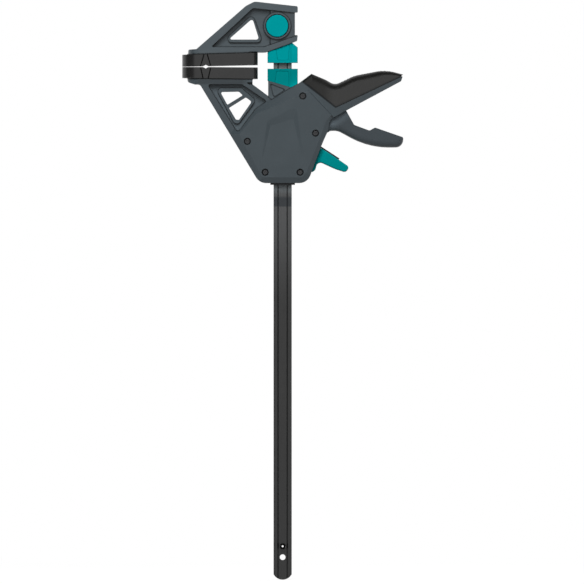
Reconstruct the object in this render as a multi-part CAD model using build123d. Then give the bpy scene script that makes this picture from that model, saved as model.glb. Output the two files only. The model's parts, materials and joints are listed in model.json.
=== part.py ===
from build123d import *
from math import cos, radians, sin, tan
import os

# Quick release bar clamp, in millimetres. X runs across the rail to the handle,
# Y through the thickness (the screw side is -Y) and Z along the rail to the fixed jaw.
# Shapes are drawn from the rail's centreline and the plane of the fixed jaw's face,
# and saved with the centre of the hang hole as the origin.

# Rail
rail_width = 20.0
rail_thickness = 8.0
rail_above_face = 63.0
rail_below_hole = 24.7
hole_to_face = 540.0
web_recess = 1.4
web_half_width = 5.1
web_slope = 1.6
rail_corner = 0.8
rail_end_rise = 6.0
rail_hole = 6.3
stop_pin_diameter = 6.0
stop_pin_bore = 2.2
stop_pin_length = 14.0
stop_pin_above_hole = 12.0

# Jaws
reach = 100.5
heel_gap = 17.3
pad_width = 34.0
pad_tip_flat = 1.0
pad_heel_round = 5.2
pad_wall = 5.5
notch_width = 6.2
notch_depth = 2.1
notch_from_tip = 25.9
line_width = 0.9
line_depth = 0.7
line_at_back = 2.3
line_at_face = 5.4
jaw_tip_flat = 2.0
foot_depth = 8.0
rim_depth = 29.0
web_depth = 6.0
window_rim_depth = 14.0
guard_width = 33.2
guard_depth = 24.0
guard_edge = 1.2
guard_step = 1.1
guard_step_inner = 7.8
guard_step_outer = 10.1
guard_panel_depth = 0.6

# Fixed jaw's lock
button_radius = 12.1
button_gap = 0.3
button_x = -6.0
button_z = 44.2
button_face = 14.6
button_thickness = 2.4
collar_radius = 14.9
collar_face = 15.0
collar_edge = 0.8
collar_recess = 1.8
collar_rim = 1.9
box_depth = 22.0
lock_stroke = 3.6
button_wall = 1.8
latch_thickness = 2.0
latch_pin_radius = 3.08
latch_screw_radius = 1.25
latch_screw_head_radius = 2.4
latch_screw_head_height = 0.9
rear_cap_thickness = 1.5

# Moving housing
cover_depth = 36.0
neck_depth = 24.0
dimple_depth = 1.6
panel_depth = 1.5
shoulder_step = 0.8
shoulder_run = 15.0
crease_run_out = 2.0
shell_wall = 3.0
housing_bottom = 128.5
guide_depth = 18.0
guide_half_width = 13.5
guide_length = 10.9
guide_showing = 1.9
screw_head_radius = 3.4
screw_head_height = 2.2
screw_sunk = 0.8
screw_socket = 2.5
screw_socket_depth = 1.2
screw_shank_radius = 1.6
screw_length = 24.0
screw_boss_radius = 4.6
counterbore_radius = 3.9

# Handle and levers
grip_depth = 31.0
grip_skin = 2.6
lever_depth = 18.0
trigger_x = 38.9
trigger_z = -55.0
trigger_pin_radius = 3.0
trigger_arm = 24.5
trigger_angle = 14.0
trigger_nose_radius = 4.0
release_x = 29.5
release_z = -99.0
release_pin_radius = 2.5
release_depth = 14.0
release_core_depth = 6.0
release_arm = 15.75
release_angle = 23.0
release_nose_radius = 3.0
strip_start, strip_end = (38.5, -87.45), (61.7, -102.64)
strip_thickness = 1.5
lever_side_gap = 0.5
pin_end = 13.5
grip_edge = 3.6
lever_edge = 1.2
blade_start = 69.0

# Plates and springs
plate_thickness = 3.0
plate_depth = 19.0
drive_plate_half = 17.0
brake_tilt = 3.5
fulcrum_x = -17.0
brake_plate_end = 16.5
brake_plate_back = 3.0
spring_wire = 1.5
spring_radius = 12.2
drive_spring_turns = 5.5
brake_spring_turns = 2.5
coil_steps = 16
partition_z = -84.0
partition_thickness = 3.0

# Clearances
running = 0.3
pin_fit = 0.05
seat = 0.1
plate_slot = 0.6
contact_gap = 0.2

rail_half = rail_width / 2
pad_tip = -(rail_half + reach)
pad_heel = -(rail_half + heel_gap)
guard_half = guard_width / 2
rim_y = rim_depth / 2
cover_y = cover_depth / 2
screw_seat = screw_sunk + screw_head_height - cover_y
far = 300.0


def outline(*corners):
    """Closed face in the XZ plane, from (x, z) or (x, z, radius) corners."""
    points = [corner[:2] for corner in corners]
    rounds = [corner[2] if len(corner) > 2 else 0 for corner in corners]
    return Plane.XZ * make_face(FilletPolyline(*points, radius=rounds, close=True))


def slab(face, front, back):
    """The face pushed through the thickness, from y = front to y = back."""
    return extrude(Pos(0, back, 0) * face, amount=back - front, dir=(0, -1, 0))


def both(face, inner, outer):
    """Two slabs of the face, alike on the front and on the back."""
    return slab(face, -outer, -inner) + slab(face, inner, outer)


def rod(x, z, radius, front, back):
    """Round bar through the thickness."""
    return slab(Plane.XZ * (Pos(x, z) * Circle(radius)), front, back)


def block(x_low, x_high, y_low, y_high, z_low, z_high):
    """Box between two corners."""
    size = (x_high - x_low, y_high - y_low, z_high - z_low)
    middle = ((x_low + x_high) / 2, (y_low + y_high) / 2, (z_low + z_high) / 2)
    return Pos(*middle) * Box(*size)


def rail_space(clearance, low, high):
    """Passage for the rail with a clearance on each side."""
    x = rail_half + clearance
    y = rail_thickness / 2 + clearance
    return block(-x, x, -y, y, low, high)


def save(name, *solids):
    """Writes one node, moved so that the hang hole is the origin."""
    moved = [Pos(0, 0, hole_to_face) * solid for solid in solids]
    if len(moved) > 1:
        moved = [Compound(children=[solid for shape in moved for solid in shape.solids()])]
    export_step(moved[0], f"parts/{name}.step")


# ---- Rail ----


def rail_section():
    """I-shaped section: a flat bar with a shallow channel down each face."""
    y = rail_thickness / 2
    top, low = web_half_width + web_slope / 2, web_half_width - web_slope / 2
    floor = y - web_recess
    channel = make_face(Polyline((-top, y), (-low, floor), (low, floor), (top, y), close=True))
    bar = RectangleRounded(rail_width, rail_thickness, rail_corner)
    return bar - channel - mirror(channel, Plane.XZ)


def rail_bar():
    bottom = -hole_to_face - rail_below_hole
    bar = extrude(Pos(0, 0, bottom) * rail_section(), amount=rail_above_face - bottom, dir=(0, 0, 1))
    shoulder = bottom + rail_end_rise
    right, left = (rail_half, shoulder), (-rail_half, shoulder)
    side = Polyline(right, (rail_half, rail_above_face), (-rail_half, rail_above_face), left)
    end = ThreePointArc(left, (0, bottom), right)
    bar &= slab(Plane.XZ * make_face([side, end]), -rail_thickness, rail_thickness)
    for z in (-hole_to_face, button_z):
        bar -= rod(0, z, rail_hole / 2, -rail_thickness, rail_thickness)
    pin_hole = stop_pin_diameter / 2 + pin_fit
    return bar - rod(0, stop_pin_above_hole - hole_to_face, pin_hole, -rail_thickness, rail_thickness)


def rail_stop_pin():
    """Rolled pin that keeps the housing from running off the rail."""
    z = stop_pin_above_hole - hole_to_face
    y = stop_pin_length / 2
    pin = rod(0, z, stop_pin_diameter / 2, -y, y) - rod(0, z, stop_pin_bore / 2, -y, y)
    return pin


# ---- Jaw pads and guards ----


def pad_plan(width, tip, heel):
    """Plan of a jaw pad, or of the foot inside it: nearly a half circle at the tip, rounded at the heel."""
    half = width / 2
    inside = pad_width / 2 - half
    tip_round, heel_round = half - pad_tip_flat / 2, max(pad_heel_round - inside, 1.0)
    corners = (tip, -half), (heel, -half), (heel, half), (tip, half)
    rounds = [tip_round, heel_round, heel_round, tip_round]
    face = make_face(FilletPolyline(*corners, radius=rounds, close=True))
    return extrude(Pos(0, 0, -far) * face, amount=2 * far, dir=(0, 0, 1))


def foot(back_tip, back_heel, into):
    """Tongue of a jaw that its pad is pushed over. into is +1 when the pad's face is below."""
    tip, heel = pad_tip + pad_wall, pad_heel - pad_wall
    depth = foot_depth * into
    side = outline(
        (tip, back_tip + into), (heel, back_heel + into), (heel, back_heel - depth), (tip, back_tip - depth),
    )
    width = pad_width - 2 * pad_wall
    return slab(side, -width / 2, width / 2) & pad_plan(width, tip, heel)


def jaw_pad(face_tip, face_heel, back_tip, back_heel):
    """Removable pad with a V notch across its face."""
    into = 1 if back_tip > face_tip else -1
    slope = (face_heel - face_tip) / (pad_heel - pad_tip)
    x = pad_tip + notch_from_tip
    z = face_tip + slope * notch_from_tip
    half = notch_width / 2
    side = outline((pad_tip, face_tip), (pad_heel, face_heel), (pad_heel, back_heel), (pad_tip, back_tip))
    pad = slab(side, -pad_width / 2, pad_width / 2) & pad_plan(pad_width, pad_tip, pad_heel)
    notch = outline(
        (x - half, z - half * slope), (x, z + notch_depth * into),
        (x + half, z + half * slope), (x, z - into),
    )
    pad -= slab(notch, -pad_width, pad_width) + flank_lines(x, z, back_tip if into > 0 else back_heel)
    return pad - foot(back_tip, back_heel, into)


def flank_lines(x, face_z, back_z):
    """Two slots down each flank, which spread from the pad's back to either side of the notch."""
    lines = []
    for side in (-1, 1):
        near, wide = x + side * line_at_back, x + side * line_at_face
        half = line_width / 2
        line = outline(
            (near - half, back_z), (near + half, back_z), (wide + half, face_z), (wide - half, face_z),
        )
        lines.append(both(line, pad_width / 2 - line_depth, pad_width))
    return lines[0] + lines[1]


fixed_face = (0.1, 1.9, 12.65, 15.0)
moving_face = (-0.9, -1.8, -13.1, -14.2)


def guard(edge, panel):
    """Sleeve round the rail beside a jaw, with a step on its handle side and a sunk panel."""
    x, y = guard_half, guard_depth / 2
    low = y - guard_step
    section = [
        (-x, guard_edge - y), (guard_edge - x, -y), (guard_step_inner, -y), (guard_step_outer, -low),
        (x - guard_edge, -low), (x, guard_edge - low),
    ]
    plan = make_face(Polyline(*section, *[(px, -py) for px, py in reversed(section)], close=True))
    sleeve = extrude(Pos(0, 0, -far) * plan, amount=2 * far, dir=(0, 0, 1)) & slab(edge, -far, far)
    return sleeve - both(panel, y - guard_panel_depth, far)


def fixed_jaw_guard():
    edge = outline(
        (-guard_half, 3.7), (guard_half, 3.7), (guard_half, 20.6), (10.4, 25.75), (-guard_half, 15.77),
    )
    panel = outline((-5.4, 6.6, 1), (6.4, 6.6, 1), (7.9, 30.0), (-9.8, 30.0))
    return guard(edge, panel) - rail_space(seat, -far, far)


def moving_jaw_guard():
    edge = outline(
        (-guard_half, -2.9), (guard_half, -2.9), (guard_half, -19.7), (9.3, -23.5), (-guard_half, -15.8),
    )
    panel = outline((-6.8, -5.4, 1), (6.3, -5.4, 1), (7.6, -30.0), (-10.3, -30.0))
    return guard(edge, panel) - rail_space(running, -far, far)


# ---- Fixed jaw ----

flange_end = guard_half
box_right = rail_half + 3.5
box_left = -(rail_half + 3.1)


def jaw_plan(tip):
    """Plan of a jaw's base, which is round at the tip as its pad is."""
    half = rim_depth / 2
    points = (tip, -half), (far, -half), (far, half), (tip, half)
    tip_round = half - jaw_tip_flat / 2
    face = make_face(FilletPolyline(*points, radius=[tip_round, 0, 0, tip_round], close=True))
    return extrude(Pos(0, 0, -far) * face, amount=2 * far, dir=(0, 0, 1))


def fixed_jaw_arm():
    edge = outline(
        (pad_tip + 6.6, fixed_face[2] + 0.2), (pad_tip + 6.6, 18.2, 2), (pad_tip + 15.7, 18.7, 2),
        (-40.2, 66.3, 10), (-30.9, 71.0, 8), (flange_end, 65.7, 1.5), (flange_end, 59.3, 1),
        (box_right, 58.9), (box_right, 34.2), (flange_end, 34.2, 1), (15.9, 27.8, 1), (-19.0, 15.0, 3),
        (pad_heel, fixed_face[3]),
    )
    pocket = outline(
        (-78.9, 20.9, 1), (-20.0, 20.9, 3), (flange_end + 2, 34.3), (flange_end + 2, 58.3), (-32.7, 63.9, 4),
    )
    slit = outline((-37.1, 14.4), (-37.1, 15.9, 0.5), (-27.0, 15.9, 0.5), (-27.0, 14.4))
    window = outline((-33.2, 52.5, 2.2), (-59.5, 29.3, 1.3), (-25.9, 29.3, 2.2))
    rim = outline((-33.2, 56.9, 4), (-66.1, 26.1, 4), (-21.9, 26.1, 4.5))
    arm = slab(edge, -rim_y, rim_y) & jaw_plan(pad_tip + 6.6)
    arm -= both(pocket, web_depth / 2, far) - slab(rim, -window_rim_depth / 2, window_rim_depth / 2)
    box = outline((box_left, 19.0), (box_left, 62.5), (box_right, 60.0), (box_right, 31.0))
    arm += slab(box, -box_depth / 2, box_depth / 2) & slab(edge, -far, far)
    collar = rod(button_x, button_z, collar_radius, -collar_face, cap_inner + rear_cap_thickness)
    arm += chamfer(collar.edges().filter_by(GeomType.CIRCLE), collar_edge)
    arm -= rod(button_x, button_z, collar_radius - collar_rim, -far, collar_recess - collar_face)
    arm -= both(slit, web_depth / 2, far)
    arm -= slab(window, -far, far)
    arm += foot(fixed_face[2], fixed_face[3], 1)
    arm -= rail_space(seat, -far, rail_above_face + seat)
    return arm - lock_space()


latch_left = -(rail_half + 7.0)
stem_right = -(rail_half + 1.2)
latch_front = rail_thickness / 2 + 0.8
spring_seat = rail_thickness / 2 + 2.0
lock_half_height = 4.5
cap_inner = latch_front + latch_thickness + lock_stroke + latch_screw_head_height + running


def lock_space():
    """Room for the button, its stem past the rail's edge and the latch behind the rail."""
    bore = rod(button_x, button_z, button_radius + button_gap, -far, -spring_seat)
    low, high = button_z - lock_half_height - running, button_z + lock_half_height + running
    stem = block(latch_left - running, -rail_half, -spring_seat - 1, cap_inner, low, high)
    latch = block(latch_left - running, rail_half - 3.0, rail_thickness / 2, cap_inner, low, high)
    return bore + stem + latch + rod(button_x, button_z, button_radius + seat, cap_inner, far)


def rear_cap():
    """Blind cap behind the latch, as wide as the button."""
    cap = rod(button_x, button_z, button_radius, cap_inner, cap_inner + rear_cap_thickness)
    return chamfer(cap.edges().group_by(Axis.Y)[-1], 0.4)


def lock_button():
    """Cup-shaped button with the stem that carries the latch."""
    rim = -(spring_seat + lock_stroke + contact_gap)
    cup = rod(button_x, button_z, button_radius, -button_face, rim)
    cup = chamfer(cup.edges().group_by(Axis.Y)[0], 0.6)
    cup -= rod(button_x, button_z, button_radius - button_wall, button_thickness - button_face, far)
    stem = block(
        latch_left, stem_right, button_thickness - button_face - 0.5, latch_front,
        button_z - lock_half_height, button_z + lock_half_height,
    )
    stem &= rod(button_x, button_z, button_radius, -far, far)
    return cup + stem - rod(latch_screw_x(), button_z, latch_screw_radius + pin_fit, -2.0, far)


def latch_screw_x():
    return (latch_left + stem_right) / 2


def lock_latch():
    """Steel strip whose pin stands in the rail's hole."""
    plate = block(
        latch_left + 0.4, 4.6, latch_front, latch_front + latch_thickness,
        button_z - lock_half_height, button_z + lock_half_height,
    )
    plate = fillet(plate.edges().filter_by(Axis.Y), 1.5)
    plate += rod(0, button_z, latch_pin_radius, -0.5, latch_front + 0.5)
    return plate - rod(latch_screw_x(), button_z, latch_screw_radius + pin_fit, -far, far)


def lock_latch_screw():
    back = latch_front + latch_thickness
    shank = rod(latch_screw_x(), button_z, latch_screw_radius, -1.8, back)
    head = rod(latch_screw_x(), button_z, latch_screw_head_radius, back, back + latch_screw_head_height)
    return shank + head


def coil(radius, wire, low, high, turns):
    """Helical spring of square wire along Z between two heights, in short straight runs."""
    height = high - low - wire
    path = Helix(pitch=height / turns, height=height, radius=radius)
    steps = round(coil_steps * turns)
    centres = Polyline(*[path @ (step / steps) for step in range(steps + 1)])
    section = Plane(centres @ 0, x_dir=(1, 0, 0), z_dir=centres % 0) * Rectangle(wire, wire)
    return Pos(0, 0, low + wire / 2) * sweep(section, path=centres, transition=Transition.RIGHT)


def lock_button_spring():
    inner = button_face - button_thickness
    spring = coil(6.5, 0.9, spring_seat + seat, inner - seat, 2)
    return Pos(button_x + 2.5, 0, button_z) * Rot(90, 0, 0) * spring


# ---- Moving housing ----

neck_left = -(rail_half + 5.9)
grip_corner = (21.6, -16.1)
saddle = (58.8, -44.8)
handle_tip = (129.6, -11.3)
screw_places = (22.1, -32.9), (36.2, -73.7), (-38.8, -82.7), (-19.2, -116.7), (19.2, -116.7)
upper_window = (-68.4, -28.4, 1.5), (-48.1, -28.0, 2.5), (-43.8, -32.0, 1), (-60.8, -42.4, 1)
lower_window = (-40.5, -34.3, 1.5), (-34.0, -38.9, 2.5), (-47.9, -58.9, 2), (-51.2, -58.9, 2), (-59, -45.9, 1)
crease_top, crease_end = (18.8, -17.0), (53.6, -53.8)
band_start, band_end = (-28.9, -52.6), 29.5
grip_top = (
    (31.6, -8.4, 0), (47.8, -15.2, 20), (57.3, -20.7, 9), (78.5, -10.4, 30), (112.5, -3.9, 40),
    (132.4, -9.2, 0),
)


def housing_edge():
    """Side outline of jaw, housing and the hard part of the handle."""
    return outline(
        (pad_tip + 5.7, moving_face[2] - 0.3, 0.5), (pad_tip + 6.2, -17.6, 3), (pad_tip + 14.0, -20.1, 3),
        (pad_tip + 19.5, -20.1, 4), (-25.5, -housing_bottom, 13), (27.3, -housing_bottom, 13),
        (42.6, -87.5, 4), (46.0, -79.6, 2), (50.2, -70.4, 3), (51.9, -59.0, 7), (70.0, -48.6, 5),
        (130.3, -16.4, 2), (132.2, -10.8, 1), handle_tip, (*saddle, 3), grip_corner,
        (guard_half, -19.7), (9.3, -23.5), (-guard_half, -15.8), (neck_left, -16.4), (neck_left, -32.8),
        (-33.1, -20.0), (-33.1, moving_face[3]),
    )


def crease_point(x):
    """Point of the line where the cover's face ends towards the handle."""
    (x0, z0), (x1, z1) = crease_top, crease_end
    return x, z0 + (z1 - z0) * (x - x0) / (x1 - x0)


def cover():
    """Raised cover: sloping bands rise from the housing's edge to a flat face."""
    low = outline(
        (-57.8, -74.0), (-31.8, -46.0), crease_top, crease_point(crease_end[0] + crease_run_out), (55.5, -61.0),
        (50.0, -76.0), (32.3, -122.0), (25.0, -130.0), (-28.0, -130.0),
    )
    high = outline(
        (-48.0, -75.0), band_start, crease_point(band_end), crease_end, (47.8, -60.2),
        (42.4, -75.5), (26.0, -117.0), (21.0, -122.3), (-22.5, -122.3),
    )
    levels = [Pos(0, -rim_y + 1, 0) * low, Pos(0, -rim_y, 0) * low, Pos(0, -cover_y, 0) * high]
    raised = loft(levels, ruled=True) + shoulder()
    return raised + mirror(raised, Plane.XZ)


def shoulder():
    """Wedge from the crease to the handle, a small step below the cover's face."""
    start, end = (Vector(x, 0, z) for x, z in (crease_top, crease_end))
    along = end - start
    section = Plane(start, x_dir=Vector(0, -1, 0).cross(along), z_dir=along)
    top, low = cover_y - shoulder_step, rim_y - 1
    profile = Polyline((0, low), (0, top), (shoulder_run, rim_y), (shoulder_run, low), close=True)
    wedge = extrude(section * make_face(profile), amount=along.length + 10, dir=along)
    x, z = crease_point(band_end)
    corner, first = Vector(x, -cover_y, z), Vector(crease_top[0], -rim_y, crease_top[1])
    band = corner - Vector(band_start[0], -cover_y, band_start[1])
    return split(wedge, Plane(first, z_dir=(corner - first).cross(band)), keep=Keep.BOTTOM)


def panel_recess():
    """Recess in the cover with sloping sides. It is deepest at the upper end and runs out at the lower."""
    face = -cover_y
    rim = [(-16.8, -60.5), (9.0, -47.0), (15.2, -47.0), (25.4, -110.0), (-24.6, -110.0)]
    floor = [(-13.4, -65.6), (8.6, -59.2), (11.8, -58.3), (23.4, -109.0), (-23.4, -109.0)]
    edge = outline(*rim)
    top, bottom = max(z for _, z in floor), min(z for _, z in floor)
    depths = [face + panel_depth * (z - bottom) / (top - bottom) for _, z in floor]
    sunk = make_face(Polyline(*[(x, y, z) for (x, z), y in zip(floor, depths)], close=True))
    recess = loft([Pos(0, face, 0) * edge, sunk], ruled=True)
    return recess + mirror(recess, Plane.XZ)


def grip_outline():
    return outline(grip_corner, *grip_top, handle_tip, (*saddle, 3))


def under_grip(inset, last_round):
    """Corners of the handle's upper line, lowered by the inset."""
    corners = [(x, z - inset, radius) for x, z, radius in grip_top[1:-1]]
    return corners[:-1] + [(*corners[-1][:2], last_round)]


def handle_core():
    """Core of the handle, which the soft grip covers."""
    edge = outline(
        (24.0, -17.9), (32.9, -8.6 - grip_skin, 2), *under_grip(grip_skin, 20), (125.0, -13.48), saddle,
    )
    return slab(edge, grip_skin - grip_depth / 2, grip_depth / 2 - grip_skin)


def handle_grip():
    """Soft grip moulded over the handle's core."""
    grip = slab(grip_outline(), -grip_depth / 2, grip_depth / 2)
    sides = grip.faces().group_by(Axis.Y)
    upper = [e for side in (sides[0], sides[-1]) for e in side.edges() if on_grip_top(e)]
    return chamfer(upper, grip_edge) - handle_core() - lever_space()


def on_grip_top(edge):
    """True for the grip's upper edges, false for those along the hard part of the handle."""
    middle = edge @ 0.5
    (x0, z0), (x1, z1), (x2, z2) = grip_corner, saddle, handle_tip
    if middle.X < x1:
        line = z0 + (z1 - z0) * (middle.X - x0) / (x1 - x0)
    else:
        line = z1 + (z2 - z1) * (middle.X - x1) / (x2 - x1)
    return middle.Z > line + 1.5


def lever_space():
    """Slot between the shells that the trigger swings in, open along the handle's underside."""
    half = lever_depth / 2 + lever_side_gap
    slot = outline(
        (12.0, -44.0), (27.0, -40.5), (44.0, -30.5), *under_grip(grip_skin + shell_wall, 8)[1:],
        (120.0, -14.0), (121.0, -30.0), (140.0, -30.0),
        (140.0, -80.0), (47.0, -76.5), (41.5, -68.5), (12.0, -62.0),
    )
    return slab(slot, -half, half)


def release_space():
    """Slot for the release lever in the housing's right wall."""
    half = release_depth / 2 + lever_side_gap
    slot = outline(
        (12.0, -89.0), (24.0, -88.5), (33.0, -84.6), (48.0, -84.6), (48.0, -119.5), (33.5, -119.5),
        (25.5, -110.0), (12.0, -104.0),
    )
    return slab(slot, -half, half)


def chamber():
    """Hollow round the rail, in two rooms with a partition for the springs between them."""
    inner = cover_y - shell_wall
    low = partition_z - partition_thickness
    bottom = guide_length - guide_showing - housing_bottom
    upper = outline(
        (12.0, -32.0), (-22.0, -48.0), (-40.0, -75.0), (-30.0, partition_z), (29.0, partition_z),
        (44.0, -64.0), (46.0, -54.0),
    )
    lower = outline((-34.0, low), (35.0, low), (24.5, bottom), (-23.0, bottom))
    rooms = slab(upper, -inner, inner) + slab(lower, -inner, inner)
    rooms -= block(-far, fulcrum_x + 1.5, -far, far, fulcrum_z() + running, low + 1)
    for x, z in screw_places:
        rooms -= rod(x, z, screw_boss_radius, -far, far)
    for x, z, radius, depth in pivots():
        for side in (-1, 1):
            near, end = sorted((side * (depth / 2 + lever_side_gap), side * far))
            rooms -= rod(x, z, radius + 3.0, near, end)
    return rooms


def pivots():
    """Place, pin radius and lever depth of the two levers."""
    return (
        (trigger_x, trigger_z, trigger_pin_radius, lever_depth),
        (release_x, release_z, release_pin_radius, release_depth),
    )


def housing():
    """Both shells in one, with the jaw, the rail's passage and the rooms for the mechanism."""
    edge = housing_edge()
    body = (slab(edge, -rim_y, rim_y) & jaw_plan(pad_tip + 5.7)) + (cover() & slab(edge, -far, far))
    pocket = outline(
        (-83.0, -19.9, 2), (-44.6, -19.9, 2), (-17.0, -38.6, 2), (-29.9, -47.5, 2), (-49.4, -74.0, 3),
    )
    rim = outline(
        (-73.5, -24.0, 4), (-45.5, -24.0, 4), (-29.6, -37.4, 4), (-48.2, -63.0, 3.5), (-53.0, -63.0, 3.5),
    )
    body -= both(pocket, web_depth / 2, far) - slab(rim, -window_rim_depth / 2, window_rim_depth / 2)
    for window in (upper_window, lower_window):
        body -= slab(outline(*window), -far, far)
    neck = outline((neck_left, -14.0), (20.8, -14.0), grip_corner, (-12.5, -37.4), (neck_left, -34.4))
    body -= both(neck, neck_depth / 2, far)
    undercut = outline((-40.3, -17.9, 0.5), (-32.0, -17.9), (-32.0, -20.3), (-36.6, -20.3))
    body -= both(undercut, web_depth / 2, far)
    dimple = outline((-14.0, -18.9, 1), (3.6, -25.8, 1), (-10.0, -35.0, 2))
    body -= both(dimple, neck_depth / 2 - dimple_depth, far)
    body -= panel_recess()
    body += foot(moving_face[2], moving_face[3], -1)
    body += handle_core()
    body -= chamber()
    body -= lever_space()
    body -= release_space()
    body -= rail_space(running, -far, far)
    body -= guide_blank()
    for x, z, radius, _ in pivots():
        body -= rod(x, z, radius + pin_fit, -pin_end, pin_end)
    return body


def front_shell(whole):
    """Screw side of the housing, with counterbored holes."""
    shell = whole & block(-far, far, -far, 0, -far, far)
    for x, z in screw_places:
        shell -= rod(x, z, counterbore_radius, -far, screw_seat)
        shell -= rod(x, z, screw_shank_radius + pin_fit, -far, 0)
    return shell


def rear_shell(whole):
    """Blind side of the housing, which the screws bite into."""
    shell = whole & block(-far, far, 0, far, -far, far)
    for x, z in screw_places:
        shell -= rod(x, z, screw_shank_radius + pin_fit, 0, screw_seat + screw_length + seat)
    return shell


def shell_screws():
    """Five pan-head screws with a hexagon socket."""
    screws = []
    for x, z in screw_places:
        top = screw_seat - screw_head_height
        head = rod(x, z, screw_head_radius, top, screw_seat)
        head = chamfer(head.edges().group_by(Axis.Y)[0], 0.5)
        hexagon = Plane.XZ * (Pos(x, z) * RegularPolygon(screw_socket / 2, 6, major_radius=False))
        shank = rod(x, z, screw_shank_radius, screw_seat, screw_seat + screw_length)
        screws.append(head - slab(hexagon, top, top + screw_socket_depth) + shank)
    return screws


def guide_blank():
    low = -housing_bottom - guide_showing
    half = guide_half_width
    return block(-half, half, -guide_depth / 2, guide_depth / 2, low, low + guide_length)


def lower_rail_guide():
    """Wear bush where the rail leaves the housing."""
    return guide_blank() - rail_space(running, -far, far)


def pivot_pin(x, z, radius):
    """Steel pin held at both ends in the shells."""
    pin = rod(x, z, radius, seat - pin_end, pin_end - seat)
    return chamfer(pin.edges().filter_by(GeomType.CIRCLE), 0.4)


# ---- Levers, plates and springs ----


def lever_nose(x, z, arm, angle):
    """Centre of a lever's nose, to the left of its pivot and the angle above it."""
    return x - arm * cos(radians(angle)), z + arm * sin(radians(angle))


def nose_arm(x, z, nose_x, nose_z, half_at_nose, half_at_hub, radius, depth):
    """Inner arm of a lever from its hub to its rounded nose."""
    length = ((nose_x - x) ** 2 + (nose_z - z) ** 2) ** 0.5
    across_x, across_z = -(nose_z - z) / length, (nose_x - x) / length
    face = outline(
        (nose_x + across_x * half_at_nose, nose_z + across_z * half_at_nose),
        (x + across_x * half_at_hub, z + across_z * half_at_hub),
        (x - across_x * half_at_hub, z - across_z * half_at_hub),
        (nose_x - across_x * half_at_nose, nose_z - across_z * half_at_nose),
    )
    return slab(face, -depth / 2, depth / 2) + rod(nose_x, nose_z, radius, -depth / 2, depth / 2)


def trigger():
    """Squeezed lever: a curved finger blade, a hub and an inner arm that pushes the drive plates."""
    half = lever_depth / 2
    edge = outline(
        (66.5, -42.5, 3), (78.6, -64.5, 2.5), (95.6, -70.8, 3), (101.6, -67.4, 2), (132.5, -78.1, 1.8),
        (132.9, -89.3, 8.5), (108.7, -89.5, 70), (86.3, -85.1, 75), (60.7, -71.1, 14), (52.5, -71.1, 5),
        (47.6, -73.9), (34.0, -58.5), (36.0, -48.0),
    )
    blade = slab(edge, -half, half)
    sides = blade.faces().group_by(Axis.Y)
    rims = [edge for face in sides[0] + sides[-1] for edge in face.edges()]
    rims = [edge for edge in rims if (edge @ 0.5).X > blade_start]
    blade = chamfer(rims, lever_edge)
    nose_x, nose_z = lever_nose(trigger_x, trigger_z, trigger_arm, trigger_angle)
    lever = blade + rod(trigger_x, trigger_z, trigger_pin_radius + 4.5, -half, half)
    lever += nose_arm(trigger_x, trigger_z, nose_x, nose_z, 3.0, 6.0, trigger_nose_radius, 11.0)
    return lever - rod(trigger_x, trigger_z, trigger_pin_radius + pin_fit, -far, far)


def release_lever():
    """Lever that frees the brake plates, with its tail outside the housing."""
    half = release_depth / 2
    edge = outline(
        strip_start, (*strip_end, 0.6), (73.5, -110.8, 3.4), (69.5, -117.0, 4), (57.7, -113.2, 40),
        (42.0, -106.0, 3.5), (37.8, -107.4, 3.5), (35.9, -114.2, 3), (31.7, -117.3, 2), (26.5, -108.0),
        (25.0, -97.0), (30.5, -93.8),
    )
    tail = slab(edge, -half, half)
    nose_x, nose_z = lever_nose(release_x, release_z, release_arm, release_angle)
    lever = tail + rod(release_x, release_z, release_pin_radius + 3.0, -half, half)
    lever += nose_arm(release_x, release_z, nose_x, nose_z, 1.8, 4.0, release_nose_radius, 10.0)
    return lever - rod(release_x, release_z, release_pin_radius + pin_fit, -far, far)


def release_lever_core():
    """Steel strip along the release lever's upper edge."""
    (x0, z0), (x1, z1) = strip_start, strip_end
    across_x, across_z = strip_thickness * sin(radians(33.2)), strip_thickness * cos(radians(33.2))
    strip = outline(strip_start, strip_end, (x1 + across_x, z1 + across_z), (x0 + across_x, z0 + across_z))
    return slab(strip, -release_core_depth / 2, release_core_depth / 2)


def plate(left, right, top):
    """Slotted steel plate round the rail."""
    face = Pos((left + right) / 2, 0) * RectangleRounded(right - left, plate_depth, 1.5)
    slot = Rectangle(rail_width + 2 * plate_slot, rail_thickness + 2 * running)
    return extrude(Pos(0, 0, top) * (face - slot), amount=plate_thickness, dir=(0, 0, -1))


def drive_top():
    _, nose_z = lever_nose(trigger_x, trigger_z, trigger_arm, trigger_angle)
    return nose_z - trigger_nose_radius - contact_gap


def drive_plate(number):
    top = drive_top() - number * (plate_thickness + seat)
    return plate(-drive_plate_half, drive_plate_half, top)


def fulcrum_z():
    """Height at which the tilted brake plates just clear the release lever's nose."""
    nose_x, nose_z = lever_nose(release_x, release_z, release_arm, release_angle)
    return nose_z - release_nose_radius - contact_gap - (nose_x - fulcrum_x) * tan(radians(brake_tilt))


def brake_plate(number):
    """Plate that jams on the rail: its right end stands higher than its fulcrum."""
    flat = plate(fulcrum_x - brake_plate_back, brake_plate_end, -number * (plate_thickness + seat))
    return Pos(fulcrum_x, 0, fulcrum_z()) * Rot(0, -brake_tilt, 0) * Pos(-fulcrum_x, 0, 0) * flat


def drive_spring():
    top = drive_top() - 2 * plate_thickness - seat - running
    return coil(spring_radius, spring_wire, partition_z + seat, top, drive_spring_turns)


def brake_spring():
    top = fulcrum_z() - 2 * plate_thickness - seat - running
    bottom = guide_length - guide_showing - housing_bottom
    return coil(spring_radius, spring_wire, bottom + seat, top, brake_spring_turns)


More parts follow.
